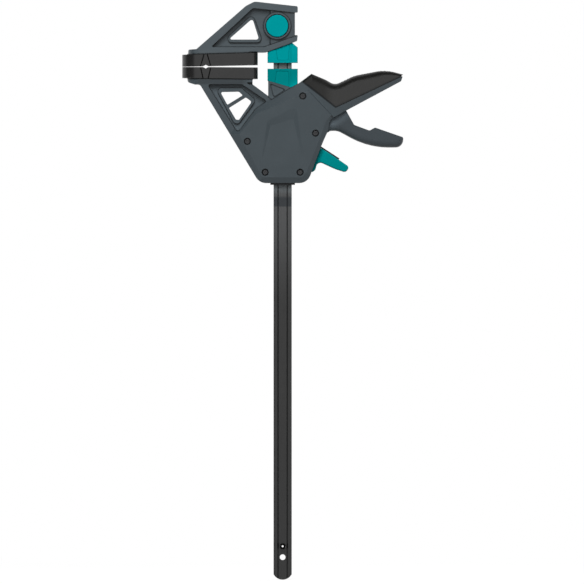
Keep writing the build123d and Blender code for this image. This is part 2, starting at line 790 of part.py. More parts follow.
def main():
    os.makedirs("parts", exist_ok=True)
    save("rail_bar", rail_bar())
    save("rail_stop_pin", rail_stop_pin())
    save("fixed_jaw_arm", fixed_jaw_arm())
    save("fixed_jaw_rear_cap", rear_cap())
    save("fixed_jaw_pad", jaw_pad(*fixed_face))
    save("fixed_jaw_guard", fixed_jaw_guard())
    save("lock_button", lock_button())
    save("lock_button_spring", lock_button_spring())
    save("lock_latch", lock_latch())
    save("lock_latch_screw", lock_latch_screw())
    whole = housing()
    save("front_shell", front_shell(whole))
    save("rear_shell", rear_shell(whole))
    save("shell_screws", *shell_screws())
    save("handle_grip", handle_grip())
    save("moving_jaw_pad", jaw_pad(*moving_face))
    save("moving_jaw_guard", moving_jaw_guard())
    save("lower_rail_guide", lower_rail_guide())
    save("trigger", trigger())
    save("trigger_pin", pivot_pin(trigger_x, trigger_z, trigger_pin_radius))
    for number in range(2):
        save(f"drive_plate_{number + 1}", drive_plate(number))
        save(f"brake_plate_{number + 1}", brake_plate(number))
    save("drive_spring", drive_spring())
    save("brake_spring", brake_spring())
    save("release_lever", release_lever())
    save("release_lever_core", release_lever_core())
    save("release_lever_pin", pivot_pin(release_x, release_z, release_pin_radius))


main()
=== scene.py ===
import json
import math

import bmesh
import bpy
from mathutils import Matrix, Vector


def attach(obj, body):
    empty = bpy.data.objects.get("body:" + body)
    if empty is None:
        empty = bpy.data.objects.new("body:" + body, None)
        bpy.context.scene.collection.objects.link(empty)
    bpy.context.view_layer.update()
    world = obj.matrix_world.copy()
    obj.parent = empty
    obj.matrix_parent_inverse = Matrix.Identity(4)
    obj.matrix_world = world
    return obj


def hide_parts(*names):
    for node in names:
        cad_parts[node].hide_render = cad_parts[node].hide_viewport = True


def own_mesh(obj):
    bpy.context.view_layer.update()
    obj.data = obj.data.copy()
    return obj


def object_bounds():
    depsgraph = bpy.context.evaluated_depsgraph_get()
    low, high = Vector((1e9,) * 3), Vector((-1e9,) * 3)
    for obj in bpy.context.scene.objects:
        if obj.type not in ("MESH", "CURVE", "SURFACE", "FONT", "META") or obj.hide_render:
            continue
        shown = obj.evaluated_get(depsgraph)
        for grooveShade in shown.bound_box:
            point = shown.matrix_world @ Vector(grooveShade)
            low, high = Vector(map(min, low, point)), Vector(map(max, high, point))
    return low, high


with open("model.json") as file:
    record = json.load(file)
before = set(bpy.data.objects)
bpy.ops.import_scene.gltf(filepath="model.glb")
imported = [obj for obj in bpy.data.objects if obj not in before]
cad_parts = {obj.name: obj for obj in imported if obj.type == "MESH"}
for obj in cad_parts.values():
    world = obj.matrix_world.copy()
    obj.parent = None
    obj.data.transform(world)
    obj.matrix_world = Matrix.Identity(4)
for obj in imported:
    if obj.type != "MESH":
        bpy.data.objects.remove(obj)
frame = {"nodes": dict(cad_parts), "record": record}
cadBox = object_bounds()
print("frame loaded:", len(frame["nodes"]), "nodes")

mm = 0.001
jawPlane = 0.540    # height of the fixed jaw's face above the hang hole
throughCut = 40.0    # millimetres, past both sides of every piece
white = (1, 1, 1, 1)


class Wire:
    # one output socket; arithmetic on it adds Math nodes
    def __init__(self, sheet, socket):
        self.sheet = sheet
        self.socket = socket

    def maths(self, operation, *values):
        return self.sheet.maths(operation, *values)

    def __add__(self, other):
        return self.maths("ADD", self, other)

    def __radd__(self, other):
        return self.maths("ADD", other, self)

    def __sub__(self, other):
        return self.maths("SUBTRACT", self, other)

    def __rsub__(self, other):
        return self.maths("SUBTRACT", other, self)

    def __mul__(self, other):
        return self.maths("MULTIPLY", self, other)

    def __rmul__(self, other):
        return self.maths("MULTIPLY", other, self)

    def __abs__(self):
        return self.maths("ABSOLUTE", self)

    def fade(self, low, high):
        # 0 below low, 1 above high, smooth between them
        limits = {"Value": self, "From Min": low, "From Max": high}
        return self.sheet.add("MapRange", {"interpolation_type": "SMOOTHSTEP"}, limits)

    def atMost(self, other):
        return self.maths("MINIMUM", self, other)


class Sheet:
    # the node tree of a material or a world
    def __init__(self, owner):
        owner.use_nodes = True
        self.tree = owner.node_tree
        self.tree.nodes.clear()

    def add(self, kind, settings=None, values=None, out=0):
        node = self.tree.nodes.new("ShaderNode" + kind)
        for name, value in (settings or {}).items():
            setattr(node, name, value)
        for name, value in (values or {}).items():
            if isinstance(value, Wire):
                self.tree.links.new(value.socket, node.inputs[name])
            else:
                node.inputs[name].default_value = value
        return Wire(self, node.outputs[out]) if node.outputs else None

    def maths(self, operation, *values):
        return self.add("Math", {"operation": operation}, dict(enumerate(values)))

    def place(self):
        return self.add("TexCoord", out="Object")

    def axis(self, letter):
        return self.add("SeparateXYZ", values={0: self.place()}, out=letter)

    def noise(self, size, detail=2.0, stretch=(1, 1, 1)):
        # size in millimetres of one blotch
        scale = [share / (size * mm) for share in stretch]
        spot = self.add("Mapping", values={"Vector": self.place(), "Scale": scale})
        return self.add("TexNoise", values={"Vector": spot, "Scale": 1.0, "Detail": detail})

    def mixColor(self, factor, first, second):
        # 0 is the factor, 6 and 7 the two colours
        return self.add("Mix", {"data_type": "RGBA"}, {0: factor, 6: first, 7: second}, out=2)

    def softEdges(self, radius):
        return self.add("Bevel", {"samples": 6}, {"Radius": radius * mm})

    def turnedAway(self, radius):
        # 0 on flat ground, more on sharp outer and inner edges
        both = {0: self.softEdges(radius), 1: self.add("NewGeometry", out="Normal")}
        return 1.0 - self.add("VectorMath", {"operation": "DOT_PRODUCT"}, both, out="Value")

    def shelter(self, reach):
        # 0 in the open, 1 deep in an inner corner
        sky = self.add("AmbientOcclusion", {"samples": 8}, {"Distance": reach * mm}, out="AO")
        return 1.0 - sky


def rgb(red, green, blue):
    # screen colour to the linear values that nodes take
    def linear(byte):
        value = byte / 255
        return value / 12.92 if value <= 0.04045 else ((value + 0.055) / 1.055) ** 2.4
    return (linear(red), linear(green), linear(blue), 1.0)


def shade(color, factor, lift=0.0):
    return [part * factor + lift for part in color[:3]] + [1.0]


print("shader tools ready")

# edge, grain, depth and line are millimetres: the softened edge, one speck of the moulded grain,
# how deep it is, and how far the painted shade reaches out of an inner corner
moulded = {
    "roughness": 0.31, "gloss": 0.3, "edge": 0.7, "grain": 0.35, "depth": 0.02,
    "wear": 0.22, "crease": 0.95, "paintedRecessLight": 1.3, "line": 2.2,
}
rubber = {
    "roughness": 0.24, "gloss": 0.5, "edge": 0.3, "grain": 0.45, "depth": 0.03,
    "wear": 0.05, "crease": 0.9, "paintedRecessLight": 0.0, "line": 1.5,
}
teal = {
    "roughness": 0.42, "gloss": 0.12, "edge": 0.4, "grain": 0.3, "depth": 0.015,
    "wear": 0.1, "crease": 0.8, "paintedRecessLight": 0.6, "line": 1.1, "tint": (0.0, 0.8, 0.8, 1.0),
}
steel = {
    "roughness": 0.34, "gloss": 0.5, "edge": 0.25, "grain": 0.2, "depth": 0.01,
    "wear": 0.3, "crease": 0.8, "paintedRecessLight": 0.3, "line": 1.2,
}
finishes = {
    "body_plastic": {**moulded, "color": (68, 77, 82)},
    # painted light: the arm and its rear cap wear a lighter copy of the housing plastic, for the
    # stronger light up at the jaw
    "arm_plastic_lit": {**moulded, "color": (78, 87, 92), "paintedRecessLight": 0.6, "line": 2.6},
    "lever_plastic": {
        **moulded, "color": (64, 72, 77), "roughness": 0.38, "wear": 0.2,
        "crease": 0.6, "paintedRecessLight": 4.5, "line": 2.0,
    },
    "black_plastic": {
        **moulded, "color": (30, 33, 36), "roughness": 0.4, "edge": 0.4, "grain": 0.3,
        "wear": 0.15, "crease": 0.5, "paintedRecessLight": 0.5, "line": 1.5,
    },
    "pad_rubber": {**rubber, "color": (24, 24, 24)},
    "grip_rubber": {
        **rubber, "color": (30, 30, 29), "roughness": 0.32, "grain": 0.5, "depth": 0.04,
        "line": 2.0,
    },
    "teal_plastic": {**teal, "color": (0, 135, 137), "edge": 0.5, "paintedRecessLight": 1.8},
    "button_plastic": {**teal, "color": (0, 160, 165)},
    # painted light: the release lever wears a lighter copy of teal_plastic, its own teal, against
    # the shade under the housing
    "lever_teal_lit": {**teal, "color": (0, 147, 149)},
    "rail_steel": {
        **steel, "color": (42, 42, 42), "roughness": 0.36, "gloss": 0.45, "edge": 0.3,
        "crease": 0.9, "paintedRecessLight": 0.0, "line": 1.5,
    },
    "dark_steel": {**steel, "color": (56, 57, 59)},
    "black_steel": {**steel, "color": (34, 37, 39), "gloss": 0.3},
    "pin_steel": {**steel, "color": (5, 5, 5), "gloss": 0.05},
    "bright_steel": {
        **steel, "color": (178, 180, 182), "roughness": 0.28, "edge": 0.2, "wear": 0.2,
        "crease": 0.4, "paintedRecessLight": 0.0, "metal": 0.9,
    },
}
wornBy = {
    "fixed_jaw_arm": "arm_plastic_lit", "fixed_jaw_rear_cap": "arm_plastic_lit",
    # painted light: the fixed guard wears the button's lighter teal instead of teal_plastic, for
    # the stronger light up at the jaw
    "fixed_jaw_guard": "button_plastic", "lock_button": "button_plastic",
    "release_lever_core": "black_steel", "rail_stop_pin": "pin_steel",
}
marks = {    # blotch, smear and the reach of the painted recess light in millimetres
    "edgeShows": (0.01, 0.22), "creaseShows": (0.1, 0.42), "worn": (1.5, 0.01), "darkToneShare": 0.12,
    "blotch": 18, "blotchDetail": 3.0, "blotchShows": (0.35, 0.75), "blotchShare": 0.12,
    "paintedLightReach": 12.0, "smear": 6, "smearRange": 0.08, "grainStrength": 0.4,
}
materials = {}


def plainColor(sheet, base, worn):
    blotch = sheet.noise(marks["blotch"], marks["blotchDetail"]).fade(*marks["blotchShows"])
    return sheet.mixColor(blotch * marks["blotchShare"], base, worn)


railMarks = {    # places in metres, as Object coordinates give them; a drawn line in millimetres
    "litUpper": (0.27, 0.39), "litUpperColor": (84, 85, 86),
    "bright": (0.3985, 0.407), "brightColor": (132, 140, 143),
    "atJaw": (0.5, 0.532), "atJawColor": (128, 126, 126),
    "line": 0.7, "lineStretch": (1, 1, 0.02), "lineShows": (0.35, 0.8), "lineShare": 0.25,
    "lineLight": 1.6, "bandStart": (0.3852, 0.3862), "bandEnd": (0.3945, 0.3985),
    "bandColor": (30, 37, 43), "bandShare": 0.85,
    "groove": 0.0051, "grooveEdge": (0.00033, 0.000715), "grooveColor": (4, 4, 5),
    "grooveShare": 0.92, "grooveInBand": 0.5,
}


def steelColor(sheet, base):
    # drawn bar with fine lines along it; painted light: lighter up towards the head, just under the
    # head and between the guards
    height = sheet.axis("Z")
    color = base
    # painted light: three lighter zones up the bar
    for place in ("litUpper", "bright", "atJaw"):
        share = height.fade(*railMarks[place])
        color = sheet.mixColor(share, color, rgb(*railMarks[place + "Color"]))
    lines = sheet.noise(railMarks["line"], 2.0, railMarks["lineStretch"])
    lines = lines.fade(*railMarks["lineShows"]) * railMarks["lineShare"]
    color = sheet.mixColor(lines, color, shade(base, railMarks["lineLight"]))
    # painted shade: a dark band just under the head, with the grooves fainter in it
    shadeBand = height.fade(*railMarks["bandStart"]) * (1.0 - height.fade(*railMarks["bandEnd"]))
    color = sheet.mixColor(shadeBand * railMarks["bandShare"], color, rgb(*railMarks["bandColor"]))
    # painted shade: the corners of the grooves are darkened, less inside the dark band
    grooveShade = 1.0 - abs(abs(sheet.axis("X")) - railMarks["groove"]).fade(*railMarks["grooveEdge"])
    share = grooveShade * (railMarks["grooveShare"] - shadeBand * railMarks["grooveInBand"])
    return sheet.mixColor(share, color, rgb(*railMarks["grooveColor"]))


gripSeams = {    # a spot on each seam in metres, and the direction from there into the grip
    "housing": ((0.0209, -0.0163), (0.611, 0.792)),
    "handle": ((0.0588, -0.0448), (-0.428, 0.904)),
}


def insideSeam(sheet):
    # depth inside the grip's outline, counted from the nearer of its two seams
    x, z = sheet.axis("X"), sheet.axis("Z") - jawPlane
    depths = [
        (x - spotX) * acrossX + (z - spotZ) * acrossZ
        for (spotX, spotZ), (acrossX, acrossZ) in gripSeams.values()
    ]
    return depths[0].atMost(depths[1])


housingMarks = {    # places in metres
    "padTip": (-0.098, -0.09), "padHeel": (-0.046, -0.036), "padHeight": (0.5188, 0.5215),
    "padShare": 0.45, "handle": (0.05, 0.075), "handleShare": 0.17,
    "seamOut": (-0.0015, -0.0003), "seamIn": (0.0012, 0.0018), "seamShare": 0.9,
}


def markHousing(sheet, color, darkTone):
    # painted shadow on the jaw just under its pad, painted shade in the gap along the seam with the
    # grip, and the housing darker towards its handle
    x = sheet.axis("X")
    alongPad = x.fade(*housingMarks["padTip"]) * (1.0 - x.fade(*housingMarks["padHeel"]))
    padShadow = alongPad * sheet.axis("Z").fade(*housingMarks["padHeight"])
    towardHandle = x.fade(*housingMarks["handle"]) * housingMarks["handleShare"]
    color = sheet.mixColor(padShadow * housingMarks["padShare"] + towardHandle, color, darkTone)
    inside = insideSeam(sheet)
    seamShade = inside.fade(*housingMarks["seamOut"]) * (1.0 - inside.fade(*housingMarks["seamIn"]))
    return sheet.mixColor(seamShade * housingMarks["seamShare"], color, darkTone)


# places in metres
armMarks = {"rim": (0.0115, 0.0135), "web": (0.008, 0.0095), "share": 0.1, "webShare": 0.2}


def markArm(sheet, color, darkTone):
    # painted shade: the faces that lie behind the rims are darkened, the web most
    height = abs(sheet.axis("Y"))
    behind = 1.0 - height.fade(*armMarks["rim"])
    onWeb = behind * height.fade(*armMarks["web"])
    return sheet.mixColor(behind * armMarks["share"] + onWeb * armMarks["webShare"], color, darkTone)


gripMarks = {    # places in metres
    "seamShade": (0.0007, 0.0019), "seamShare": 0.9, "thumb": (0.04, 0.052), "thumbShare": 0.25,
    "matte": (0.044, 0.056), "matteShare": 0.22,
}


def markGrip(sheet, color, darkTone):
    # painted shade along the seam with the housing, and painted shade on the thumb rest, whose real
    # surface is turned away from the light
    seamShade = 1.0 - insideSeam(sheet).fade(*gripMarks["seamShade"])
    color = sheet.mixColor(seamShade * gripMarks["seamShare"], color, darkTone)
    thumb = 1.0 - sheet.axis("X").fade(*gripMarks["thumb"])
    return sheet.mixColor(thumb * gripMarks["thumbShare"], color, darkTone)


ownMarks = {"body_plastic": markHousing, "arm_plastic_lit": markArm, "grip_rubber": markGrip}


def finishColor(sheet, name, look):
    base = rgb(*look["color"])
    worn = shade(base, *marks["worn"])
    darkTone = shade(base, marks["darkToneShare"])
    color = steelColor(sheet, base) if name == "rail_steel" else plainColor(sheet, base, worn)
    edges = sheet.turnedAway(look["edge"] * 0.5).fade(*marks["edgeShows"])
    color = sheet.mixColor(edges * look["wear"], color, worn)
    # painted light: sheltered recesses are painted lighter, in place of the fill light they lack
    if look["paintedRecessLight"]:
        recessLit = shade(base, 1.0 + look["paintedRecessLight"])
        color = sheet.mixColor(sheet.shelter(marks["paintedLightReach"]), color, recessLit)
    if name in ownMarks:
        color = ownMarks[name](sheet, color, darkTone)
    # painted shade: inner corners and creases are darkened
    crease = sheet.shelter(look["line"]).fade(*marks["creaseShows"]) * look["crease"]
    return sheet.mixColor(crease, color, darkTone)


def finishRoughness(sheet, name, look):
    smear = marks["smearRange"] * (sheet.noise(marks["smear"]) - 0.5)
    rough = look["roughness"] + smear
    if name == "grip_rubber":
        thumb = 1.0 - sheet.axis("X").fade(*gripMarks["matte"])
        rough = rough + gripMarks["matteShare"] * thumb    # matte thumb rest
    return rough


def makeFinish(name, look):
    material = bpy.data.materials.new(name)
    sheet = Sheet(material)
    bumps = {
        "Height": sheet.noise(look["grain"], 1.0), "Distance": look["depth"] * mm,
        "Strength": marks["grainStrength"], "Normal": sheet.softEdges(look["edge"]),
    }
    surface = {
        "Base Color": finishColor(sheet, name, look), "Metallic": look.get("metal", 0.0),
        "Roughness": finishRoughness(sheet, name, look), "Normal": sheet.add("Bump", values=bumps),
        "Specular IOR Level": look["gloss"], "Specular Tint": look.get("tint", white),
    }
    shader = sheet.add("BsdfPrincipled", values=surface)
    sheet.add("OutputMaterial", values={"Surface": shader})
    return material


def dressNodes():
    for name, look in finishes.items():
        materials[name] = makeFinish(name, look)
    for part in frame["record"]["subparts"]:
        node = frame["nodes"][part["node"]]
        finish = wornBy.get(part["node"], part["material_slot"])
        for slot in node.material_slots:
            slot.material = materials[finish]


dressNodes()
print("finishes:", ", ".join(sorted(materials)))

arcStep = 7    # degrees between the points of a rounded corner
sharpFold = 1.0    # radians; a fold beyond it is an edge of the outline
weldReach = 0.001    # millimetres; points nearer than this become one


def roundCorner(shape, grooveShade, before, after, radius):
    turn = (grooveShade.co - before).angle(after - grooveShade.co)
    steps = max(2, round(math.degrees(turn) / arcStep))
    bmesh.ops.bevel(
        shape, geom=[grooveShade], offset=radius * mm * math.tan(turn / 2), offset_type="OFFSET",
        segments=steps, profile=0.5, affect="VERTICES", material=-1,
    )


def flatFace(corners, spot):
    # one face from (a, b) or (a, b, radius) corners, where spot turns a and b into a place
    shape = bmesh.new()
    ring = [shape.verts.new(spot(*grooveShade[:2])) for grooveShade in corners]
    shape.faces.new(ring)
    places = [vert.co.copy() for vert in ring]
    for index, grooveShade in enumerate(corners):
        if len(grooveShade) > 2:
            after = places[(index + 1) % len(corners)]
            roundCorner(shape, ring[index], places[index - 1], after, grooveShade[2])
    return shape


def push(shape, shift):
    # the face becomes a closed solid
    made = bmesh.ops.extrude_face_region(shape, geom=shape.faces[:])["geom"]
    moved = [item for item in made if isinstance(item, bmesh.types.BMVert)]
    bmesh.ops.translate(shape, vec=shift, verts=moved)
    bmesh.ops.recalc_face_normals(shape, faces=shape.faces[:])
    return shape


def slab(corners, front, back):
    # side outline in millimetres from the jaw plane, pushed through the thickness
    shape = flatFace(corners, lambda x, z: (x * mm, front * mm, jawPlane + z * mm))
    return push(shape, (0, (back - front) * mm, 0))


def disc(x, z, radius, half, sides=48):
    shape = bmesh.new()
    place = Matrix.Translation((x * mm, 0, jawPlane + z * mm))
    bmesh.ops.create_cone(
        shape, cap_ends=True, segments=sides, radius1=radius * mm, radius2=radius * mm,
        depth=2 * half * mm, matrix=place @ Matrix.Rotation(math.pi / 2, 4, "X"),
    )
    return shape


def rims(shape, wanted):
    # edges round the two side faces whose middle passes the test
    found = []
    for edge in shape.edges:
        first, second = (vert.co for vert in edge.verts)
        middle = (first + second) / 2
        level = abs(first.y - second.y) < weldReach * 0.1 * mm
        sharp = len(edge.link_faces) == 2 and edge.calc_face_angle(0) > sharpFold
        if sharp and level and wanted(middle.x / mm, (middle.z - jawPlane) / mm):
            found.append(edge)
    return found


def weld(shape):
    bmesh.ops.dissolve_degenerate(shape, dist=weldReach * mm, edges=shape.edges[:])


def roll(shape, edges, width, steps):
    bmesh.ops.bevel(
        shape, geom=edges, offset=width * mm, offset_type="OFFSET", segments=steps,
        profile=0.5, affect="EDGES", material=-1, clamp_overlap=False,
    )
    weld(shape)


def markFolds(shape, angle=40):
    # sharp folds stay sharp, the rest is smooth
    for face in shape.faces:
        face.smooth = True
    for edge in shape.edges:
        edge.smooth = edge.calc_face_angle(0) < math.radians(angle)


def showShape(shape, name):
    mesh = bpy.data.meshes.new(name)
    shape.to_mesh(mesh)
    shape.free()
    piece = bpy.data.objects.new(name, mesh)
    bpy.context.scene.collection.objects.link(piece)
    return piece


def shapeOf(piece):
    shape = bmesh.new()
    shape.from_mesh(piece.data)
    return shape


def bake(piece):
    # modifiers become part of the mesh
    bpy.context.view_layer.update()
    graph = bpy.context.evaluated_depsgraph_get()
    mesh = bpy.data.meshes.new_from_object(piece.evaluated_get(graph))
    piece.modifiers.clear()
    piece.data = mesh


def combine(piece, operation, *tools):
    for tool in tools:
        helper = showShape(tool, "helper")
        step = piece.modifiers.new("step", "BOOLEAN")
        step.operation = operation
        step.solver = "EXACT"
        step.object = helper
        bake(piece)
        bpy.data.objects.remove(helper)


def tidy(piece, angle=40):
    # welds slivers and marks the folds again after cuts
    shape = shapeOf(piece)
    weld(shape)
    markFolds(shape, angle)
    shape.to_mesh(piece.data)
    shape.free()


def evenShading(piece):
    weighted = piece.modifiers.new("even", "WEIGHTED_NORMAL")
    weighted.keep_sharp = True
    weighted.weight = 80
    bake(piece)


def mount(piece, finish, body, *nodes, slot=None):
    piece.data.materials.clear()
    piece.data.materials.append(materials[finish])
    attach(piece, body)
    if nodes:
        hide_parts(*nodes)
    shape = shapeOf(piece)
    loose = sum(1 for edge in shape.edges if len(edge.link_faces) != 2)
    print("made", piece.name, len(shape.faces), "faces", loose, "open edges")
    shape.free()


# millimetres; each pad has the heights of its face and of its back, at the tip and at the heel,
# and each edge has a width and its steps
jawPads = {
    "upperPad": ((-0.42, 1.25), (12.65, 15.0)), "lowerPad": ((-0.92, -1.5), (-13.1, -14.2)),
    "ends": (-110.5, -27.3), "width": 34.0, "rounds": (16.5, 5.2),
    "backEdge": (0.5, 3), "faceEdge": (0.2, 2), "notch": -84.6, "notchHalf": 2.9, "notchDepth": 1.5,
    "slotWidth": 1.2, "slotDepth": 1.0, "slotPast": 1.5, "slotFar": 5.6,
    "slotNear": {"upperPad": 1.5, "lowerPad": 2.3},
    "footEnds": (-105.0, -32.8), "footWidth": 23.0, "footRounds": (11.0, 1.0), "footDepth": 8.0,
    "clear": 1.0,
}


def planSlab(ends, width, rounds, *levels):
    # plan outline between two sloping planes, each given by its height at both ends of the pad
    half = width / 2
    lower, upper = sorted(levels)
    corners = [
        (ends[0], -half, rounds[0]), (ends[1], -half, rounds[1]),
        (ends[1], half, rounds[1]), (ends[0], half, rounds[0]),
    ]
    shape = push(flatFace(corners, lambda x, y: (x * mm, y * mm, 0)), (0, 0, 1))
    first, last = jawPads["ends"]
    for vert in shape.verts:    # both ends of the block move to their own plane
        tip, heel = upper if vert.co.z > 0.5 else lower
        along = (vert.co.x / mm - first) / (last - first)
        vert.co.z = jawPlane + (tip + (heel - tip) * along) * mm
    return shape


def padRims(shape, above):
    # edges round the upper or the lower end of a pad
    heights = [vert.co.z for vert in shape.verts]
    middle = (min(heights) + max(heights)) / 2
    return [
        edge for edge in shape.edges
        if all((vert.co.z > middle) == above for vert in edge.verts)
        and edge.calc_face_angle(0) > sharpFold
    ]


def veeCutter(start, end, half, flank, depth):
    # prism along a slanting line on a pad's flank: wide outside, a sharp ridge inside
    (x, z), (endX, endZ) = start, end
    outward = math.copysign(depth, flank)
    corners = [
        (x - half * 2, flank + outward), (x + half * 2, flank + outward), (x, flank - outward),
    ]
    shape = flatFace(corners, lambda along, across: (along * mm, across * mm, jawPlane + z * mm))
    return push(shape, ((endX - x) * mm, 0, (endZ - z) * mm))


def notchCutters(name, into):
    # the V across the face, and the slots that run from it to the back on both flanks
    (tip, heel), back = jawPads[name]
    first, last = jawPads["ends"]
    x, half = jawPads["notch"], jawPads["notchHalf"]
    slope = (heel - tip) / (last - first)
    z = tip + slope * (x - first)
    vee = [
        (x - half, z - half * slope), (x, z + jawPads["notchDepth"] * into),
        (x + half, z + half * slope), (x, z - jawPads["clear"] * into),
    ]
    cutters = [slab(vee, -throughCut, throughCut)]
    backZ = (back[0] if into > 0 else back[1]) + jawPads["slotPast"] * into
    near, far = jawPads["slotNear"][name], jawPads["slotFar"]
    line, wide = jawPads["slotWidth"] / 2, jawPads["width"] / 2
    for side in (-1, 1):
        for flank in (-wide, wide):
            ends = (x + side * near, backZ), (x + side * far, z)
            cutters.append(veeCutter(*ends, line, flank, jawPads["slotDepth"]))
    return cutters


def makePad(name, body, node):
    face, back = jawPads[name]
    into = 1 if back > face else -1    # from the face into the pad
    shape = planSlab(jawPads["ends"], jawPads["width"], jawPads["rounds"], face, back)
    roll(shape, padRims(shape, into > 0), *jawPads["backEdge"])
    roll(shape, padRims(shape, into < 0), *jawPads["faceEdge"])
    piece = showShape(shape, name)
    deep = tuple(height - jawPads["footDepth"] * into for height in back)
    clear = tuple(height + jawPads["clear"] * into for height in back)
    foot = planSlab(jawPads["footEnds"], jawPads["footWidth"], jawPads["footRounds"], deep, clear)
    combine(piece, "DIFFERENCE", *notchCutters(name, into), foot)
    tidy(piece)
    evenShading(piece)
    mount(piece, "pad_rubber", body, node)


makePad("upperPad", "rail", "fixed_jaw_pad")
makePad("lowerPad", "carriage", "moving_jaw_pad")

grip = {
    "half": 15.5, "skin": 2.6, "fold": 50, "heelCorner": (21.6, -16.1),
    "saddle": (58.8, -44.8, 3), "tip": (129.6, -11.3), "lip": 1.5,
    "top": [
        (31.6, -8.4), (47.8, -15.2, 20), (57.3, -20.7, 9), (78.5, -10.4, 30), (112.5, -3.9, 40),
        (132.4, -9.2),
    ],
    "core": [
        (22.8, -18.8), (32.9, -11.2, 2), (47.8, -17.8, 20), (57.3, -23.3, 9), (78.5, -13.0, 30),
        (112.5, -6.5, 20), (126.3, -14.2), (58.0, -47.0),
    ],
    "crown": 8.0, "crownSteps": 9, "crownFull": (34.0, 96.0), "crownHeel": 0.35,
    "crownTip": 0.3, "crownEnd": 130.0, "longEdge": 8.0, "edgeCuts": 3,
    "ribs": (61.0, 124.0), "ribStep": 1.7, "ribDepth": 0.36, "ribFadeIn": 6.0, "ribFadeOut": 10.0,
    "ribSlope": 0.25, "ribOnCut": 0.02,
}


def onGripTop(x, z):
    (x0, z0), (x1, z1, _), (x2, z2) = grip["heelCorner"], grip["saddle"], grip["tip"]
    if x < x1:
        seamShade = z0 + (z1 - z0) * (x - x0) / (x1 - x0)
    else:
        seamShade = z1 + (z2 - z1) * (x - x1) / (x2 - x1)
    return z > seamShade + grip["lip"]


def crownShare(x):
    # the rolled edge narrows towards both ends of the grip
    start, end = grip["crownFull"]
    if x < start:
        return grip["crownHeel"]
    tip = grip["crownTip"]
    return 1.0 if x < end else max(tip, 1.0 - (1.0 - tip) * (x - end) / (grip["crownEnd"] - end))


def rollCrown(piece):
    crown = piece.modifiers.new("crown", "BEVEL")
    crown.limit_method = "WEIGHT"
    crown.width = grip["crown"] * mm
    crown.segments = grip["crownSteps"]
    crown.profile = 0.5
    crown.use_clamp_overlap = False
    bake(piece)


def ribTop(piece):
    # rows are cut across the skin, and every second one sinks a little, most on the ridge
    shape = shapeOf(piece)
    low, high = grip["ribs"]
    step = grip["ribStep"] / 2
    for row in range(int((high - low) / step) + 1):
        everything = shape.verts[:] + shape.edges[:] + shape.faces[:]
        place = ((low + row * step) * mm, 0, 0)
        bmesh.ops.bisect_plane(
            shape, geom=everything, plane_co=place, plane_no=(1, 0, 0), dist=weldReach * mm,
        )
    shape.normal_update()
    for vert in shape.verts:
        x = vert.co.x / mm
        row = round((x - low) / step)
        onCut = low < x < high and abs(low + row * step - x) < grip["ribOnCut"]
        slope = vert.normal.z - grip["ribSlope"]
        if onCut and row % 2 and slope > 0:
            ends = min(1.0, (x - low) / grip["ribFadeIn"], (high - x) / grip["ribFadeOut"])
            vert.co -= vert.normal * grip["ribDepth"] * mm * ends * min(1.0, slope * 2)
    shape.to_mesh(piece.data)
    shape.free()


def makeGrip():
    corners = [grip["heelCorner"], *grip["top"], grip["tip"], grip["saddle"]]
    shape = slab(corners, -grip["half"], grip["half"])
    longest = grip["longEdge"] * mm
    longEdges = [edge for edge in rims(shape, onGripTop) if edge.calc_length() > longest]
    bmesh.ops.subdivide_edges(shape, edges=longEdges, cuts=grip["edgeCuts"])
    share = shape.edges.layers.float.new("bevel_weight_edge")
    for edge in rims(shape, onGripTop):
        edge[share] = crownShare((edge.verts[0].co.x + edge.verts[1].co.x) / 2 / mm)
    piece = showShape(shape, "gripSkin")
    rollCrown(piece)
    ribTop(piece)
    core = slab(grip["core"], grip["skin"] - grip["half"], grip["half"] - grip["skin"])
    combine(piece, "DIFFERENCE", core)
    tidy(piece, grip["fold"])
    mount(piece, "grip_rubber", "carriage", "handle_grip")


makeGrip()

# millimetres and degrees; belly and edge are the width of a roll and its steps, and bellyLine is
# where the belly starts, its height there and its slope
trigger = {
    "half": 9.0, "belly": (7.2, 9), "bellyLine": (50.0, -66.0, -0.19), "edge": (1.4, 4),
    "topStart": 62.0, "pivot": (38.9, -55.0), "hub": 7.5, "bore": 3.05,
    "blade": [
        (66.5, -42.5, 3), (78.6, -64.5, 2.5), (95.6, -70.8, 3), (101.6, -67.4, 2),
        (132.5, -78.1, 1.8), (132.9, -89.3, 8.5), (108.7, -89.5, 70), (86.3, -85.1, 75),
        (60.7, -71.1, 14), (52.5, -71.1, 5), (47.6, -73.9), (34.0, -58.5), (36.0, -48.0),
    ],
    "arm": 24.5, "angle": 14.0, "nose": 4.0, "armEnds": (3.0, 6.0), "armHalf": 5.5,
}


def onBelly(x, z):
    start, height, slope = trigger["bellyLine"]
    return x > start and z < height + (x - start) * slope


def onBladeTop(x, z):
    return x > trigger["topStart"] and not onBelly(x, z)


def innerArm(lever):
    # arm from the hub to the rounded nose that works the plates
    x, z = lever["pivot"]
    turn = math.radians(lever["angle"])
    noseX, noseZ = x - lever["arm"] * math.cos(turn), z + lever["arm"] * math.sin(turn)
    thin, thick = lever["armEnds"]
    corners = [
        (endX - math.sin(turn) * width, endZ - math.cos(turn) * width)
        for endX, endZ, width in (
            (noseX, noseZ, thin), (x, z, thick), (x, z, -thick), (noseX, noseZ, -thin),
        )
    ]
    half = lever["armHalf"]
    return slab(corners, -half, half), disc(noseX, noseZ, lever["nose"], half)


def finishLever(piece, lever, finish, body, node, slot=None):
    hub = disc(*lever["pivot"], lever["hub"], lever["half"])
    combine(piece, "UNION", hub, *innerArm(lever))
    combine(piece, "DIFFERENCE", disc(*lever["pivot"], lever["bore"], throughCut))
    tidy(piece)
    evenShading(piece)
    mount(piece, finish, body, node, slot=slot)


